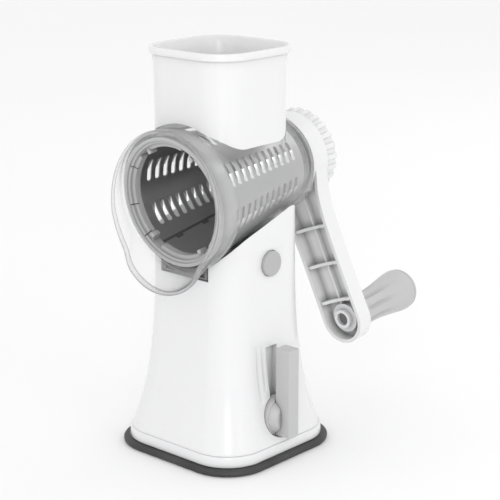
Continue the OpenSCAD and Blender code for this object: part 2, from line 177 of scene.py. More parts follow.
def mouldedPlastic(name, level, roughness, grain, depth, tint=0.0, coat=0.0, scatter=0.0):
    finish = Finish(name, IOR=1.5, Coat_Weight=coat, Coat_Roughness=0.12)
    cloud = finish.noise(9, 2)
    flow = finish.noise(26, 3, finish.stretched((1, 1, 0.35)))
    speck = finish.noise(grain, 3)
    # corners, creases, recesses and gaps between parts darken by an ambient occlusion mask: painted shade in the
    # base colour
    openness = finish.hollows(cornerShade["reach"]).band(cornerShade["start"], 1.0)
    lit = finish.blend(cloud.band(0.3, 0.7), grey(level * 0.985, tint), grey(level, tint))
    finish.set("Base Color", finish.blend(openness, grey(level * cornerShade["level"]), lit))
    finish.set("Roughness", (speck - 0.5) * 0.12 + (flow - 0.5) * 0.1 + roughness)
    finish.bump(speck * 0.7 + flow * 0.3, depth, 0.0004)
    if scatter:
        finish.shader.inputs["Subsurface Weight"].default_value = scatter
        finish.shader.inputs["Subsurface Scale"].default_value = 0.004
    return finish.material


def clearPlastic(name, level, alpha, edge, edgeShadeLevel):
    finish = Finish(name, IOR=1.46, Coat_Weight=0.2, Coat_Roughness=0.03)
    swirl = finish.noise(30, 3, finish.stretched((1, 0.4, 1)))
    haze = finish.noise(220, 2)
    # towards grazing edges the colour turns dark and the alpha rises: painted shade along the edges of the clear
    # plastic
    facing = finish.value(finish.add("ShaderNodeLayerWeight", {}, {"Blend": 0.5}).outputs["Facing"])
    rim = facing.band(0.2, 0.95) ** 1.6
    tint = finish.blend(swirl.band(0.35, 0.65), grey(level, 0.004), grey(level * 0.96, 0.006))
    finish.set("Base Color", finish.blend(rim, tint, grey(edgeShadeLevel)))
    finish.set("Roughness", (haze - 0.5) * 0.05 + 0.06)
    finish.set("Alpha", (rim * edge + (swirl - 0.5) * 0.04 + alpha).clamped())
    finish.bump(swirl, 0.05, 0.0005)
    return finish.material


def brushedSteel(name, level, scale, turn=(0, 0, 0), roughness=0.3):
    finish = Finish(name, Metallic=1.0)
    lines = finish.noise(1, 3, finish.stretched(scale, turn, tuple(crankPoint)), 0.55)
    stain = finish.noise(14, 2)
    worn = (lines * 0.6 + stain * 0.4).band(0.3, 0.7)
    finish.set("Base Color", finish.blend(worn, grey(level * 0.94), grey(level, 0.004)))
    finish.set("Roughness", (lines - 0.5) * 0.16 + (stain - 0.5) * 0.06 + roughness)
    finish.bump(lines, 0.04, 0.0001)
    return finish.material


def darkRubber(name):
    finish = Finish(name, IOR=1.5)
    grain = finish.noise(1500, 3)
    wear = finish.noise(30, 4)
    finish.set("Base Color", finish.blend(wear.band(0.35, 0.7), grey(0.03), grey(0.055, 0.002)))
    finish.set("Roughness", (grain - 0.5) * 0.14 + (wear - 0.5) * 0.12 + 0.55)
    finish.bump(grain * 0.6 + wear * 0.4, 0.25, 0.0004)
    return finish.material


looks = {
    "white_plastic": mouldedPlastic("gloss white plastic", 0.785, 0.24, 1400, 0.06, 0.003, 0.25, 0.04),
    "grey_plastic": mouldedPlastic("satin grey plastic", 0.43, 0.42, 1800, 0.18),
    "pale_grey": mouldedPlastic("satin pale grey plastic", 0.5, 0.38, 1800, 0.18),
    "dark_grey": mouldedPlastic("satin dark grey plastic", 0.2, 0.45, 1700, 0.18),
    "light_grey_plastic": mouldedPlastic("satin light grey plastic", 0.45, 0.36, 1600, 0.12),
    "inner_plastic": mouldedPlastic("plain inner plastic", 0.6, 0.45, 1500, 0.15),
    "clear_plastic": clearPlastic("clear barrel plastic", 0.8, 0.07, 0.6, 0.16),
    "steel": brushedSteel("brushed steel", 0.62, (400, 30, 400)),
    "brass": brushedSteel("turned insert metal", 0.55, (30, 500, 30)),
    "black_rubber": darkRubber("dark rubber"),
    "drum_steel": brushedSteel("drum steel", 0.5, (14, 900, 14), (barrelTilt, 0, 0), 0.36),
    "bright_steel": brushedSteel("polished tooth steel", 0.9, (14, 900, 14), (barrelTilt, 0, 0), 0.3),
    "dark_metal": brushedSteel("shaded axle steel", 0.22, (400, 30, 400), roughness=0.5),
    "hood_plastic": clearPlastic("clear hood plastic", 0.72, 0.09, 1.0, 0.06),
    "hood_bead": clearPlastic("clear hood bead", 0.6, 0.16, 1.0, 0.03),
}

slotOf = {part["node"]: part["material_slot"] for part in frame["record"]["subparts"]}
for nodeName, cadNode in nodes.items():
    cadNode.data.materials.clear()
    # the grip axle gets the dark axle steel as painted shade inside the boss hole it sits in
    cadNode.data.materials.append(looks["dark_metal" if nodeName == "grip_axle" else slotOf[nodeName]])
print("materials done")


# The helpers below take millimetres. A piece turns into metres in finished().
def roundedFace(bm, half, corner, segments=12):
    made = bmesh.ops.create_grid(bm, x_segments=1, y_segments=1, size=half)
    bmesh.ops.bevel(bm, geom=made["verts"], offset=corner, offset_type="OFFSET", segments=segments,
                    profile=0.5, affect="VERTICES", material=-1, clamp_overlap=False)
    bm.faces.ensure_lookup_table()
    return bm.faces[-1]


def raiseFace(bm, face, levels):
    # levels: (height, half width); the first one is where the face starts
    height, half = levels[0]
    bmesh.ops.translate(bm, vec=(0, 0, height), verts=list(face.verts))
    for nextHeight, nextHalf in levels[1:]:
        made = bmesh.ops.extrude_face_region(bm, geom=[face, *face.edges, *face.verts])
        face = next(item for item in made["geom"] if isinstance(item, bmesh.types.BMFace))
        ring = list(face.verts)
        factor = nextHalf / half
        bmesh.ops.scale(bm, vec=(factor, factor, 1), verts=ring)
        bmesh.ops.translate(bm, vec=(0, 0, nextHeight - height), verts=ring)
        height, half = nextHeight, nextHalf
    return face


def loft(half, corner, levels, segments=12):
    bm = bmesh.new()
    face = roundedFace(bm, half, corner, segments)
    first = levels[0][1]
    bmesh.ops.scale(bm, vec=(first / half, first / half, 1), verts=bm.verts[:])
    raiseFace(bm, face, levels)
    return bm


def block(low, high):
    bm = bmesh.new()
    bmesh.ops.create_cube(bm, size=1)
    size = [high[i] - low[i] for i in range(3)]
    bmesh.ops.scale(bm, vec=size, verts=bm.verts[:])
    bmesh.ops.translate(bm, vec=[(high[i] + low[i]) / 2 for i in range(3)], verts=bm.verts[:])
    return bm


def rod(start, end, radius, endRadius=None, axis="Y", segments=96):
    bm = bmesh.new()
    other = radius if endRadius is None else endRadius
    bmesh.ops.create_cone(bm, cap_ends=True, segments=segments, radius1=radius, radius2=other,
                          depth=end - start)
    bmesh.ops.translate(bm, vec=(0, 0, (start + end) / 2), verts=bm.verts[:])
    turns = {"Y": Matrix.Rotation(-math.pi / 2, 3, "X"), "X": Matrix.Rotation(math.pi / 2, 3, "Y"),
             "Z": Matrix.Identity(3)}
    bmesh.ops.rotate(bm, matrix=turns[axis], verts=bm.verts[:])
    return bm


def turned(profile, steps=128):
    # profile: (radius, place along Y) pairs of a closed outline, spun round the Y axis
    bm = bmesh.new()
    verts = [bm.verts.new((radius, along, 0)) for radius, along in profile]
    edges = [bm.edges.new(pair) for pair in zip(verts, verts[1:] + verts[:1])]
    bmesh.ops.spin(bm, geom=verts + edges, cent=(0, 0, 0), axis=(0, 1, 0), angle=math.tau,
                   steps=steps, use_merge=True)
    bmesh.ops.remove_doubles(bm, verts=bm.verts[:], dist=0.001)
    return bm


def softened(bm, width, segments=2, angle=32):
    edges = [edge for edge in bm.edges if len(edge.link_faces) == 2
             and edge.calc_face_angle(0) > math.radians(angle)]
    bmesh.ops.bevel(bm, geom=edges, offset=width, offset_type="OFFSET", segments=segments,
                    profile=0.5, affect="EDGES", material=-1, clamp_overlap=True)
    return bm


def joined(*shapes):
    total = bmesh.new()
    for shape in shapes:
        mesh = bpy.data.meshes.new("join")
        shape.to_mesh(mesh)
        total.from_mesh(mesh)
        bpy.data.meshes.remove(mesh)
        shape.free()
    return total


def moved(bm, matrix):
    bmesh.ops.transform(bm, matrix=matrix, verts=bm.verts[:])
    return bm


def shapeObject(name, bm):
    bmesh.ops.recalc_face_normals(bm, faces=bm.faces[:])
    mesh = bpy.data.meshes.new(name)
    bm.to_mesh(mesh)
    bm.free()
    piece = bpy.data.objects.new(name, mesh)
    bpy.context.scene.collection.objects.link(piece)
    return piece


def taken(piece):
    # the shape of a helper object, which is removed
    bm = bmesh.new()
    bm.from_mesh(piece.data)
    bpy.data.objects.remove(piece)
    return bm


def baked(piece):
    graph = bpy.context.evaluated_depsgraph_get()
    mesh = bpy.data.meshes.new_from_object(piece.evaluated_get(graph))
    old = piece.data
    piece.modifiers.clear()
    piece.data = mesh
    bpy.data.meshes.remove(old)
    return piece


def carve(piece, *steps):
    # steps: (operation, bmesh) pairs, worked in order
    for operation, bm in steps:
        tool = shapeObject("tool", bm)
        cut = piece.modifiers.new("cut", "BOOLEAN")
        cut.operation = operation
        cut.solver = "EXACT"
        cut.object = tool
        baked(piece)
        bpy.data.objects.remove(tool)
    return piece


def edged(piece, width, segments=2, angle=35):
    bevel = piece.modifiers.new("edges", "BEVEL")
    bevel.width = width
    bevel.segments = segments
    bevel.limit_method = "ANGLE"
    bevel.angle_limit = math.radians(angle)
    bevel.miter_outer = "MITER_ARC"
    return baked(piece)


def finished(piece, body, look, replaced, place=None, sharp=38):
    mesh = piece.data
    mesh.transform(Matrix.Scale(mm, 4))
    if place is not None:
        mesh.transform(place)
    bm = bmesh.new()
    bm.from_mesh(mesh)
    bmesh.ops.remove_doubles(bm, verts=bm.verts[:], dist=1e-6)
    bm.to_mesh(mesh)
    bm.free()
    for face in mesh.polygons:
        face.use_smooth = True
    mesh.set_sharp_from_angle(angle=math.radians(sharp))
    mesh.materials.clear()
    mesh.materials.append(looks[look])
    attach(piece, body)
    if replaced:
        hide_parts(*replaced)
    return piece


def eased(table, x):
    # smooth curve through a table of (x, y) pairs
    if x <= table[0][0]:
        return table[0][1]
    if x >= table[-1][0]:
        return table[-1][1]
    k = max(i for i in range(len(table) - 1) if table[i][0] <= x)
    (x1, y1), (x2, y2) = table[k], table[k + 1]
    x0, y0 = table[k - 1] if k else (2 * x1 - x2, 2 * y1 - y2)
    x3, y3 = table[k + 2] if k + 2 < len(table) else (2 * x2 - x1, 2 * y2 - y1)
    t = (x - x1) / (x2 - x1)
    m1 = (y2 - y0) / (x2 - x0) * (x2 - x1)
    m2 = (y3 - y1) / (x3 - x1) * (x2 - x1)
    return ((2 * t**3 - 3 * t**2 + 1) * y1 + (t**3 - 2 * t**2 + t) * m1
            + (-2 * t**3 + 3 * t**2) * y2 + (t**3 - t**2) * m2)


# shared by the tower, barrel, hood, hopper and drum
barrel = {"front": -50, "rear": 55, "radius": 47, "taper": 0.1286, "wall": 1.8, "height": crankPoint.z / mm}


def barrelRadius(along):
    return barrel["radius"] - barrel["taper"] * (along - barrel["front"])


def tilted(bm):
    return moved(bm, Matrix.Translation((0, 0, barrel["height"])) @ Matrix.Rotation(barrelTilt, 4, "X"))


def barrelCone(start, end, out, lift=0):
    bm = rod(start, end, barrelRadius(start) + out, barrelRadius(end) + out, segments=128)
    return tilted(moved(bm, Matrix.Translation((0, 0, lift))))


tower = {"levels": [(12.75, 54.9), (16, 53.8), (20, 52.7), (26, 50.9), (32, 49.3), (42, 47.1),
                    (52, 45.4), (64, 43.8), (78, 42.4), (95, 41.2), (120, 40.4), (145, 40.1), (172.5, 40)],
         "corner": 0.52, "wall": 2.7, "steps": 46, "pivot": 30, "disc": 14.7, "slotTop": 78.5,
         "recess": 5.6, "topEase": 9.4, "button": (1.5, 136), "buttonHole": 9.1,
         # place, lean in degrees and half sizes of each shallow flute
         "flutes": [((45.3, -14.2, 61), -7.2, (2.1, 2.5, 21)), ((45, -9, 65), -6.6, (2.1, 2.2, 19))]}


def buildTower():
    top, bottom = tower["levels"][-1][0], tower["levels"][0][0]
    heights = [bottom + (top - bottom) * i / tower["steps"] for i in range(tower["steps"] + 1)]
    outer = [(z, eased(tower["levels"], z)) for z in heights]
    inner = [(z, half - tower["wall"]) for z, half in outer]
    inner[0] = (bottom - 1, inner[0][1])
    inner[-1] = (top + 1, inner[-1][1])
    piece = shapeObject("tower", loft(outer[0][1], outer[0][1] * tower["corner"], outer, 16))
    hollow = shapeObject("hollow", loft(inner[0][1], inner[0][1] * 0.5, inner, 12))
    # walls stay round the saddle, the lever's disc and the lever's slot
    carve(hollow, ("DIFFERENCE", barrelCone(-90, 90, 4.8)),
          ("DIFFERENCE", moved(rod(41, 80, tower["disc"] + 2.4, axis="X"),
                               Matrix.Translation((0, 0, tower["pivot"])))),
          ("DIFFERENCE", block((35.5, -19, 30), (60, 9, 88))))
    buttonY, buttonZ = tower["button"]
    # inside, saddle and its eased edge, lever pocket, slot, button hole, notch, sleeve relief, foot
    carve(piece, ("DIFFERENCE", taken(hollow)), ("DIFFERENCE", barrelCone(-90, 90, 0.4)),
          ("DIFFERENCE", barrelCone(-90, 90, 0.6 + tower["topEase"], lift=tower["topEase"])),
          ("DIFFERENCE", moved(rod(43.5, 80, tower["disc"], axis="X"),
                               Matrix.Translation((0, 0, tower["pivot"])))),
          ("DIFFERENCE", block((38.5, -tower["recess"], 30), (60, tower["recess"], tower["slotTop"]))),
          ("DIFFERENCE", moved(rod(30, 60, tower["buttonHole"], axis="X"),
                               Matrix.Translation((0, buttonY, buttonZ)))),
          ("DIFFERENCE", block((-22, -46, 128), (22, -30, 190))),
          ("DIFFERENCE", barrelCone(-90, barrel["front"] + 9.4, 2.4)),
          ("DIFFERENCE", block((-16.6, -38, 122), (16.6, 12.6, 182))))
    for place, lean, size in tower["flutes"]:
        bm = bmesh.new()
        bmesh.ops.create_uvsphere(bm, u_segments=24, v_segments=16, radius=1)
        moved(bm, Matrix.Translation(place) @ Matrix.Rotation(math.radians(lean), 4, "Y")
              @ Matrix.Diagonal((*size, 1)))
        carve(piece, ("DIFFERENCE", bm))
    edged(piece, 0.5, 2, 40)
    finished(piece, "base", "white_plastic", ["tower_shell"])


buildTower()
print("tower done")


base = {"skirt": [(4.6, 55.0), (5.1, 55.7), (6, 56), (11.4, 55.7), (12.1, 55.4), (12.4, 54.8)],
        "pad": [(0, 58.4), (0.4, 59.2), (1.2, 59.8), (2.4, 60), (3.4, 59.9), (4.1, 59.5), (4.5, 58.8)]}


def buildBase():
    skirt = shapeObject("skirt", loft(56, 28.5, base["skirt"], 16))
    carve(skirt, ("DIFFERENCE", loft(53, 25, [(0, 53), (20, 53)], 12)))
    finished(skirt, "base", "white_plastic", ["base_skirt"])
    pad = shapeObject("pad", loft(60, 31, base["pad"], 16))
    carve(pad, ("DIFFERENCE", loft(51, 22, [(3, 51), (9, 51)], 12)),
          ("DIFFERENCE", loft(52, 23, [(-3, 52), (1, 52)], 12)))
    finished(pad, "base", "black_rubber", ["suction_pad"])


buildBase()
print("base done")


lever = {"pivot": 30, "face": 51, "radius": 13.7, "barWidth": 10.2, "barOut": 12, "barLength": 50,
         "moon": 13.2, "moonTop": 8.8, "moonOut": 5.2}


def buildLever():
    place = Matrix.Translation((0, 0, lever["pivot"]))
    face, halfBar, top = lever["face"], lever["barWidth"] / 2, lever["face"] + lever["barOut"]
    disc = softened(rod(44, face, lever["radius"], axis="X"), 0.7, 3, 60)
    moon = rod(face - 1, face + lever["moonOut"], lever["moon"], lever["moonTop"], axis="X")
    softened(moon, 1.4, 4, 25)
    bar = shapeObject("bar", rod(face + 0.2, top, lever["radius"] - 0.3, axis="X", segments=128))
    carve(bar, ("INTERSECT", block((face, -halfBar, -20), (top + 1, halfBar, 20))),
          ("UNION", block((face + 0.2, -halfBar, 2), (top, halfBar, lever["barLength"]))))
    edged(bar, 1.9, 5, 50)
    beside = block((face - 0.2, halfBar - 1.2, -30), (face + 9, 30, 30))
    groove = block((face - 0.4, -halfBar - 0.35, -30), (face + 9, 1 - halfBar, 30))
    piece = shapeObject("lever", moved(disc, place))
    carve(piece, ("UNION", moved(moon, place)),
          ("DIFFERENCE", moved(beside, place)),
          ("DIFFERENCE", moved(groove, place)),
          ("UNION", moved(taken(bar), place)),
          ("DIFFERENCE", moved(rod(40, face - 2.5, 4.02, axis="X"), place)))  # shaft
    finished(piece, "lever", "pale_grey", ["suction_lever"], sharp=30)


def buildButton():
    y, z = tower["button"]
    cap = rod(36.6, 42.9, 8.7, axis="X")
    rim = [edge for edge in cap.edges if all(vert.co.x > 42.8 for vert in edge.verts)]
    bmesh.ops.bevel(cap, geom=rim, offset=1.1, offset_type="OFFSET", segments=5, profile=0.5,
                    affect="EDGES", material=-1)
    piece = shapeObject("button", moved(cap, Matrix.Translation((0, y, z))))
    carve(piece, ("UNION", moved(rod(35, 36.7, 10.6, axis="X"), Matrix.Translation((0, y, z)))),
          ("DIFFERENCE", moved(rod(34, 40, 3.02, axis="X"), Matrix.Translation((0, y, z)))))
    finished(piece, "button", "grey_plastic", ["release_button"], sharp=30)


buildLever()
buildButton()
print("lever and button done")


hopper = {"half": 37.5, "corner": 22, "wall": 2.2, "shift": -4, "rimOut": 2.8, "collarFront": 4.7,
          "collarRear": 11.3, "mouthStep": 1.2, "mouthRise": 0.36}


def collarCone(out):
    return tilted(rod(-60, 60, barrelRadius(-60) + hopper["collarFront"] + out - 0.6,
                      barrelRadius(60) + hopper["collarRear"] + out + 0.4, segments=128))


def collarTool(out):
    # the collar cone, drawn in towards the barrel over its first part
    ring = shapeObject("ring", rod(-62, -10, 80, segments=64))
    low, high = (barrelRadius(along) + hopper["mouthStep"] + out + hopper["mouthRise"] * (along + 45)
                 for along in (-63, -9))
    carve(ring, ("DIFFERENCE", rod(-63, -9, low, high, segments=128)))
    tool = shapeObject("collarTool", collarCone(out))
    return taken(carve(tool, ("DIFFERENCE", tilted(taken(ring)))))


def shiftedLoft(levels, corner, segments=16):
    bm = loft(levels[0][1], corner, levels, segments)
    return moved(bm, Matrix.Translation((0, hopper["shift"], 0)))


def buildBarrel():
    front, rear, wall = barrel["front"], barrel["rear"], barrel["wall"]
    outer = [(barrelRadius(front), front), (barrelRadius(45.4), 45.4)]
    for along in (46, 49, 52):  # ring lines at the rear end
        r = barrelRadius(along)
        outer += [(r + 0.1, along), (r + 0.8, along + 0.5), (r + 0.7, along + 1.7), (r - 0.3, along + 2.2)]
    outer += [(barrelRadius(rear) + 0.1, rear - 0.6), (barrelRadius(rear) - 0.6, rear - 0.1),
              (barrelRadius(rear) - 1.6, rear)]
    profile = outer + [(12.05, rear), (12.05, rear - 3), (barrelRadius(rear - 3) - wall - 1, rear - 3),
                       (barrelRadius(rear - 5) - wall, rear - 5), (barrelRadius(front) - wall, front)]
    tube = tilted(turned(profile))
    half = hopper["half"]
    collar = shapeObject("collar", shiftedLoft([(202, half), (250, half)], hopper["corner"]))
    carve(collar, ("INTERSECT", collarTool(0)), ("DIFFERENCE", barrelCone(-90, 90, -0.9)))
    piece = shapeObject("clear_barrel", tube)
    inHalf = half - hopper["wall"]
    carve(piece, ("UNION", taken(collar)),
          ("DIFFERENCE", shiftedLoft([(190, inHalf), (300, inHalf)], hopper["corner"] - hopper["wall"])))
    finished(piece, "upper_unit", "clear_plastic", ["barrel_housing"])


# flow: (how far out of the barrel, place), which is below 0 on the sleeve and 1 at the front edge
hood = {"slope": 0.1709, "reach": 9.1, "lip": 41, "drop": 15.8, "waist": 0.05, "sleeve": 12, "bead": 1.3,
        "flow": [(0, -0.05), (0, -1.2), (1.71, -1.2), (2.2, -1.1), (2.2, -0.12), (2.0, 0.0), (1.3, 0.2),
                 (0.9, 0.4), (0.7, 0.6), (0.7, 0.78), (1.0, 0.88), (1.5, 0.93), (1.75, 1.0), (1.5, 1.07),
                 (0.8, 1.12), (-0.1, 1.1), (-0.75, 1.02), (-0.9, 0.92), (-0.9, 0.75), (-0.9, 0.5),
                 (-0.9, 0.2), (-0.9, -0.05)]}


def hoodOutline(angle, grow):
    # outline of the front edge: a large circle above, a smaller one below, blended
    up = math.cos(angle)
    blend = min(1, max(0, (-up - 0.2) / 0.36))
    blend = blend * blend * (3 - 2 * blend)
    waist = hood["waist"] * math.exp(-((-up - 0.52) / 0.13) ** 2)
    big = Vector((math.sin(angle), math.cos(angle))) * (barrel["radius"] + 0.5 + grow)
    small = Vector((math.sin(angle), math.cos(angle))) * (hood["lip"] + grow) + Vector((0, -hood["drop"]))
    return big.lerp(small, blend) * (1 - waist)


def hoodShape(name, profile):
    # spun as a ring of radius 100 and length 100, then laid on the barrel and the hood's outline
    bm = turned([(100 + out, place * 100) for out, place in profile], 160)
    for vert in bm.verts:
        angle = math.atan2(vert.co.x, vert.co.z)
        out, place = math.hypot(vert.co.x, vert.co.z) - 100, vert.co.y / 100
        if place <= 0:
            along = barrel["front"] - place * hood["sleeve"] / 1.2
            r = barrelRadius(along) + out
            vert.co = Vector((math.sin(angle) * r, along, math.cos(angle) * r))
        else:
            ease = min(1, place)
            ease = ease * ease * (3 - 2 * ease)
            edge = hoodOutline(angle, out)
            start = Vector((math.sin(angle), math.cos(angle))) * (barrel["radius"] + out)
            flat = start.lerp(edge, ease)
            reach = hood["reach"] - hood["slope"] * edge.y
            vert.co = Vector((flat.x, barrel["front"] - place * reach, flat.y))
    return shapeObject(name, bm)


def buildHood():
    sheet = hoodShape("hood", hood["flow"])
    finished(sheet, "upper_unit", "hood_plastic", ["front_hood"], barrelPlace, sharp=50)
    turns = [math.tau * step / 12 for step in range(12)]
    bead = hoodShape("hood_bead", [(0.5 + math.cos(turn) * hood["bead"], 1.02 + math.sin(turn) * 0.13)
                                   for turn in turns])
    finished(bead, "upper_unit", "hood_bead", [], barrelPlace, sharp=50)


def buildHopper():
    half, rim = hopper["half"], hopper["half"] + hopper["rimOut"]
    levels = [(204, half), (240, half), (262, half + 0.1), (268, half + 0.3), (272, half + 0.8),
              (274.9, half + 1.2), (275.1, half + 1.2), (275.2, rim - 0.4), (275.7, rim), (279.0, rim),
              (279.7, rim - 0.25), (280, rim - 0.8)]
    piece = shapeObject("hopper", shiftedLoft(levels, hopper["corner"], 20))
    inHalf = half - hopper["wall"]
    inner = [(190, inHalf), (262, inHalf), (272, inHalf + 0.6), (278.8, inHalf + 2.2),
             (279.6, inHalf + 2.6), (281, inHalf + 3.6)]
    carve(piece, ("DIFFERENCE", shiftedLoft(inner, hopper["corner"] - hopper["wall"], 16)),
          ("DIFFERENCE", collarTool(0.05)))
    edged(piece, 0.35, 2, 50)
    finished(piece, "upper_unit", "white_plastic", ["feed_hopper"], sharp=40)


def buildFoot():
    piece = shapeObject("foot", block((-16, -37, 124.6), (16, 12, 156)))
    lip = shapeObject("lip", barrelCone(-90, 0, 5.4))
    carve(lip, ("DIFFERENCE", barrelCone(-91, 1, 4)),
          ("INTERSECT", block((-18.5, -39.9, 128.5), (18.5, -36, 150))))
    carve(piece, ("UNION", block((-20.5, -39.4, 128.9), (20.5, -36.5, 151))),
          ("DIFFERENCE", block((-18, -41, 130.2), (18, -38, 151))), ("UNION", taken(lip)),
          ("DIFFERENCE", barrelCone(-90, 90, 0.02)),
          ("DIFFERENCE", barrelCone(-90, barrel["front"] + 9.4, 2.4)))
    edged(piece, 0.35, 2, 45)
    finished(piece, "upper_unit", "dark_grey", ["housing_foot"])


buildFoot()
buildBarrel()
buildHood()
buildHopper()
print("barrel, hood and hopper done")


drum = {"seam": -147, "out": -3.6, "sheet": 0.8, "front": -47, "rear": 47, "firstSlot": -32, "pitch": 6.9,
        "slots": 11, "rows": 6, "rowPitch": 45, "firstRow": -118.5, "arc": 23, "width": 3.5, "tooth": 2.5,
        "cover": 0.52, "lift": 1.9}


def drumRadius(along):
    return barrelRadius(along) + drum["out"]


def drumBand(start, end, outer, inner):
    # ring of sheet between two places, with both faces inwards of the drum's outside
    return turned([(drumRadius(start) - outer, start), (drumRadius(end) - outer, end),
                   (drumRadius(end) - inner, end), (drumRadius(start) - inner, start)], 180)


def buildDrum():
    front, rear, sheet = drum["front"], drum["rear"], drum["sheet"]
    shell = shapeObject("drum", drumBand(front, rear, 0, sheet))
    cutters, teeth = [], []
    for row in range(drum["rows"]):
        turn = math.radians(drum["firstRow"] + drum["rowPitch"] * row)
        for i in range(drum["slots"]):
            along = drum["firstSlot"] + drum["pitch"] * i
            radius = drumRadius(along)
            place = Matrix.Rotation(turn, 4, "Y") @ Matrix.Translation((0, along, radius))
            length = 2 * radius * math.sin(math.radians(drum["arc"] / 2))
            cutter = bmesh.new()
            bmesh.ops.create_cube(cutter, size=1)
            bmesh.ops.scale(cutter, vec=(length, drum["width"], 9), verts=cutter.verts[:])
            upright = [edge for edge in cutter.edges
                       if abs((edge.verts[0].co - edge.verts[1].co).z) > 1]
            bmesh.ops.bevel(cutter, geom=upright, offset=1.35, offset_type="OFFSET", segments=3,
                            profile=0.5, affect="EDGES", material=-1)
            cutters.append(moved(cutter, place))
            # scooped tooth: a blade over part of the slot that leans out of the drum towards its edge
            tooth = bmesh.new()
            bmesh.ops.create_grid(tooth, x_segments=8, y_segments=4, size=0.5)
            for vert in tooth.verts:
                u, v = vert.co.x + 0.5, vert.co.y * 2  # u runs from the root to the cutting edge
                x = length / 2 + 0.4 - u * (length * drum["cover"] + 0.4)
                wide = drum["tooth"] * (0.5 + 0.18 * (1 - u) ** 3)
                sag = math.sqrt(max(0, radius * radius - x * x)) - radius
                lift = drum["lift"] * math.sin(u * math.pi * 0.5) ** 1.3 * (1 - 0.5 * v * v)
                vert.co = Vector((x, v * wide, sag - 0.3 + lift))
            teeth.append(moved(tooth, place))
    carve(shell, ("DIFFERENCE", joined(*cutters)))
    finished(shell, "drum", "drum_steel", ["drum_sheet"], barrelPlace)
    seam = shapeObject("drum_seam", drumBand(front + 5, rear - 5, sheet - 0.05, sheet + 0.5))
    strip = shapeObject("strip", block((-0.8, front, 20), (0.8, rear, 60)))
    for along in (-30, -6, 18):
        carve(strip, ("UNION", block((-2.8, along, 21), (0.2, along + 5, 59))))
    carve(seam, ("INTERSECT", moved(taken(strip), Matrix.Rotation(math.radians(drum["seam"]), 4, "Y"))))
    finished(seam, "drum", "dark_metal", [], barrelPlace)
    blades = shapeObject("drum_teeth", joined(*teeth))
    thick = blades.modifiers.new("thick", "SOLIDIFY")
    thick.thickness = 0.5
    thick.offset = 0
    baked(blades)
    finished(blades, "drum", "bright_steel", [], barrelPlace)


ring = {"profile": [(44.0, -52), (44.4, -51.6), (44.4, -47), (42.9, -47), (42.55, -46.6), (42.1, -43.2),
                    (41.8, -43), (37.8, -43), (37.4, -43.4), (37.4, -48.2), (37.8, -48.6), (40.2, -48.7),
                    (40.3, -50.1), (40.7, -50.3), (41.9, -50.5), (42.1, -51.7), (42.5, -52)],
        "slits": (-62, -102, -134), "notches": (-40, 22, 140, 212)}


def buildRing():
    piece = shapeObject("front_ring", turned(ring["profile"], 160))
    for angle in ring["slits"]:
        carve(piece, ("DIFFERENCE", moved(block((-0.35, -50.6, 36), (0.35, -46.5, 43)),
                                          Matrix.Rotation(math.radians(angle), 4, "Y"))))
    for angle in ring["notches"]:
        notch = moved(block((-4, -49.6, 35), (4, -42, 39.6)), Matrix.Rotation(math.radians(angle), 4, "Y"))
        tab = softened(moved(block((-1.6, -49.4, 35.4), (1.6, -43.2, 38.6)),
                             Matrix.Rotation(math.radians(angle + 9), 4, "Y")), 0.3, 2, 60)
        carve(piece, ("DIFFERENCE", notch), ("UNION", tab))
    finished(piece, "drum", "light_grey_plastic", ["drum_front_ring"], place=barrelPlace, sharp=32)


buildDrum()
buildRing()
print("drum done")


crank = {"hubRadius": 30, "front": 59, "rear": 74, "armHalf": 17.5, "armFront": 61, "armRear": 73,
         "wall": 2.6, "ribs": 3, "firstRib": 0.444, "ribPitch": 0.222, "boss": 9, "bore": 3.52,
         "flare": [(0, 27), (16, 25.6), (24, 22.6), (32, 20.2), (42, 18.5), (56, 17.6), (80, 17.2),
                   (104, 17.3), (123, 17.5)]}


toGrip = Matrix.Translation((0, 0, -crankLength))


def armBlock(start, end, shrink):
    # strip down the arm, widths from the flare table, with a round end
    bm = bmesh.new()
    bmesh.ops.create_grid(bm, x_segments=1, y_segments=30, size=0.5)
    for vert in bm.verts:
        side = 1 if vert.co.x > 0 else -1
        down = (0.5 - vert.co.y) * crankLength
        vert.co = Vector((side * (eased(crank["flare"], down) - shrink), start, -down))
    made = bmesh.ops.extrude_face_region(bm, geom=bm.faces[:])
    bmesh.ops.translate(bm, vec=(0, end - start, 0),
                        verts=[item for item in made["geom"] if isinstance(item, bmesh.types.BMVert)])
    strip = shapeObject("strip", bm)
    return taken(carve(strip, ("UNION", moved(rod(start, end, crank["armHalf"] - shrink), toGrip))))


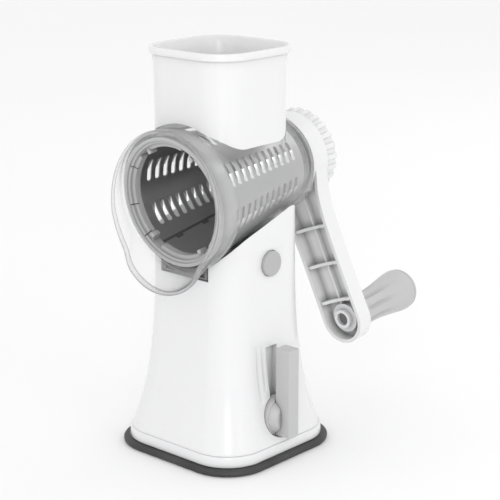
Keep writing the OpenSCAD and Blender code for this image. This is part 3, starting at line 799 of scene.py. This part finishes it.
def buildCrank():
    front, rear, wall = crank["front"], crank["rear"], crank["wall"]
    armFront, armRear = crank["armFront"], crank["armRear"]
    # a channel open to the front with ribs, a spine and a boss left standing in its pocket
    piece = shapeObject("crank", armBlock(armFront, armRear, 0))
    carve(piece, ("UNION", rod(front, rear, crank["hubRadius"])))
    pocket = shapeObject("pocket", armBlock(armFront - 5, armRear - wall, wall))
    tools = [("DIFFERENCE", rod(front - 1, rear + 1, crank["hubRadius"]))]
    for i in range(crank["ribs"]):
        down = crankLength * (crank["firstRib"] + crank["ribPitch"] * i)
        rib = shapeObject("rib", block((-26, armFront + 1.2, -down - 1.1), (26, armRear, -down + 1.1)))
        carve(rib, ("DIFFERENCE", moved(rod(-6, 6, 24, axis="Z"),
                                        Matrix.Translation((0, armFront - 20.2, -down)))))
        tools.append(("DIFFERENCE", taken(rib)))
    tools.append(("DIFFERENCE", block((-0.9, armFront + 5.5, -crankLength), (0.9, armRear, -20))))
    for start, radius in ((armFront + 4.5, crank["boss"] + 1.5), (armFront + 1.2, crank["boss"] - 2.2)):
        tools.append(("DIFFERENCE", moved(rod(start, armRear, radius), toGrip)))
    carve(pocket, *tools)
    hollow = shapeObject("hollow", rod(front - 1, rear - 3, crank["hubRadius"] - wall))
    carve(hollow, ("DIFFERENCE", rod(front - 2, rear, 13)))
    carve(piece, ("DIFFERENCE", taken(pocket)), ("DIFFERENCE", taken(hollow)),
          ("DIFFERENCE", rod(front - 1, front + 6.8, 8.4, segments=6)),
          ("DIFFERENCE", rod(front, rear + 1, 3.5)),
          ("DIFFERENCE", moved(rod(armFront - 1, armRear + 1, crank["bore"]), toGrip)),
          ("DIFFERENCE", moved(rod(armFront - 1, armFront + 5.4, 4.7, segments=48), toGrip)))
    edged(piece, 0.55, 3, 45)
    finished(piece, "crank", "white_plastic", ["crank_arm"], place=armPlace, sharp=40)


def dented(bm, dip):
    # dip(radius, place, angle) says how far each vertex goes in towards the axis
    for vert in bm.verts:
        radius = math.hypot(vert.co.x, vert.co.z)
        if radius > 1:
            factor = (radius - dip(radius, vert.co.y, math.atan2(vert.co.x, vert.co.z))) / radius
            vert.co.x *= factor
            vert.co.z *= factor
    return bm


knob = {"front": 74.4, "rear": 84, "radius": 31, "lobes": 24, "depth": 1.2}


def buildKnob():
    front, rear, radius = knob["front"], knob["rear"], knob["radius"]
    profile = [(3.02, front), (radius - 1.6, front), (radius - 0.9, front + 0.6),
               (radius - 0.5, front + 2.5), (radius - 0.2, front + 4.5), (radius, rear - 2.4),
               (radius - 0.5, rear - 0.9), (radius - 1.6, rear), (radius - 6.4, rear),
               (radius - 7.4, rear - 0.5), (radius - 7.8, rear - 1.6), (9.6, rear - 1.6),
               (8.8, rear - 0.6), (0, rear - 0.4), (0, rear - 2.4), (3.02, rear - 2.4)]

    def scallop(r, along, angle):
        if r > radius - 2.2 and along > front + 0.3:
            return knob["depth"] * min(1, max(0, 0.5 - math.cos(knob["lobes"] * angle) * 1.4))
        return 0

    piece = shapeObject("knob", dented(turned(profile, 240), scallop))
    finished(piece, "crank", "white_plastic", ["clamp_knob"], place=barrelPlace, sharp=40)


grip = {"start": 74.6, "seam": 129.6, "flutes": 8, "fluteDepth": 1.5,
        "profile": [(0, 11.2), (1.0, 12.0), (4, 12.1), (9, 11.8), (16, 11.6), (24, 12.0), (32, 12.9),
                    (39, 13.9), (45, 14.8), (49, 15.2), (52, 15.3), (55, 15.0)],
        # (radius, place behind the seam) of the end cap
        "cap": [(0, 3.4), (6.6, 3.4), (6.6, 0.05), (14.1, 0.05), (14.8, 0.8), (14.7, 1.2), (14.2, 2.2),
                (13.2, 3.6), (11.6, 4.9), (9.6, 5.9), (7.2, 6.5), (4, 6.9), (0, 7)]}


def buildGrip():
    start, seam = grip["start"], grip["seam"]
    rows = [(eased(grip["profile"], 55 * i / 60), start + 55 * i / 60) for i in range(1, 60)]
    profile = [(3.58, start), (grip["profile"][0][1] - 0.6, start), *rows,
               (14.9, seam - 0.7), (14.3, seam - 0.1), (3.58, seam)]

    def flute(r, place, angle):
        along = place - start
        if r > 9 and along > 1.5:
            fade = min(1, max(0, (along - 2) / 6)) * min(1, max(0, (46 - along) / 22))
            return grip["fluteDepth"] * fade * max(0, math.cos(grip["flutes"] * angle)) ** 1.6
        return 0

    piece = shapeObject("grip", dented(turned(profile, 128), flute))
    finished(piece, "grip", "pale_grey", ["grip_sleeve"], gripPlace)
    cap = shapeObject("grip_cap_smooth", turned([(r, seam + place) for r, place in grip["cap"]], 96))
    finished(cap, "grip", "pale_grey", ["grip_cap"], gripPlace)


buildCrank()
buildKnob()
buildGrip()
print("crank done")


studio = {"azimuth": 43, "distance": 1.046, "height": 0.429, "pitch": 15.55, "yaw": 0.94, "lens": 113.8,
          "floor": 0.93, "world": 1.0,
          # place, size and power in watts of each soft light
          "lights": {"key": ((0.95, -1.0, 0.55), (0.35, 0.9), 3.4),
                     "side": ((1.5, -0.2, 0.7), (0.5, 1.2), 1.2),
                     "rear": ((0.2, 1.3, 1.0), (1.0, 0.6), 1.5)}}


def plainFinish(name, level, roughness):
    finish = Finish(name, Roughness=roughness)
    cloud = finish.noise(3, 2)
    finish.set("Base Color", finish.blend(cloud.band(0.3, 0.7), grey(level * 0.99), grey(level)))
    return finish.material


def softLight(name, place, size, power):
    data = bpy.data.lights.new(name, "AREA")
    data.shape = "RECTANGLE"
    data.size, data.size_y = size
    data.energy = power
    lamp = bpy.data.objects.new(name, data)
    bpy.context.scene.collection.objects.link(lamp)
    lamp.location = place
    lamp.rotation_euler = (Vector((0, 0, 0.15)) - Vector(place)).to_track_quat("-Z", "Y").to_euler()


def buildStudio():
    scene = bpy.context.scene
    bm = bmesh.new()
    bmesh.ops.create_grid(bm, x_segments=1, y_segments=1, size=6000)
    floor = shapeObject("floor", bm)
    floor.data.transform(Matrix.Scale(mm, 4))
    floor.data.materials.append(plainFinish("pale floor", studio["floor"], 0.7))
    world = bpy.data.worlds.new("soft room")
    world.use_nodes = True
    world.node_tree.nodes["Background"].inputs[0].default_value = (1, 1, 1, 1)
    world.node_tree.nodes["Background"].inputs[1].default_value = studio["world"]
    scene.world = world
    scene.view_settings.view_transform = "Standard"
    for name, (place, size, power) in studio["lights"].items():
        softLight(name, place, size, power)
    azimuth, pitch = math.radians(studio["azimuth"]), math.radians(studio["pitch"])
    camera = bpy.data.objects.new("camera", bpy.data.cameras.new("camera"))
    scene.collection.objects.link(camera)
    distance, heading = studio["distance"], azimuth - math.radians(studio["yaw"])
    camera.location = (math.sin(azimuth) * distance, -math.cos(azimuth) * distance, studio["height"])
    turn = Matrix.Rotation(heading, 4, "Z") @ Matrix.Rotation(math.pi / 2 - pitch, 4, "X")
    camera.rotation_euler = turn.to_euler()
    camera.data.lens = studio["lens"]
    camera.data.sensor_width = 36
    scene.camera = camera


buildStudio()
print("floor, light and camera done")
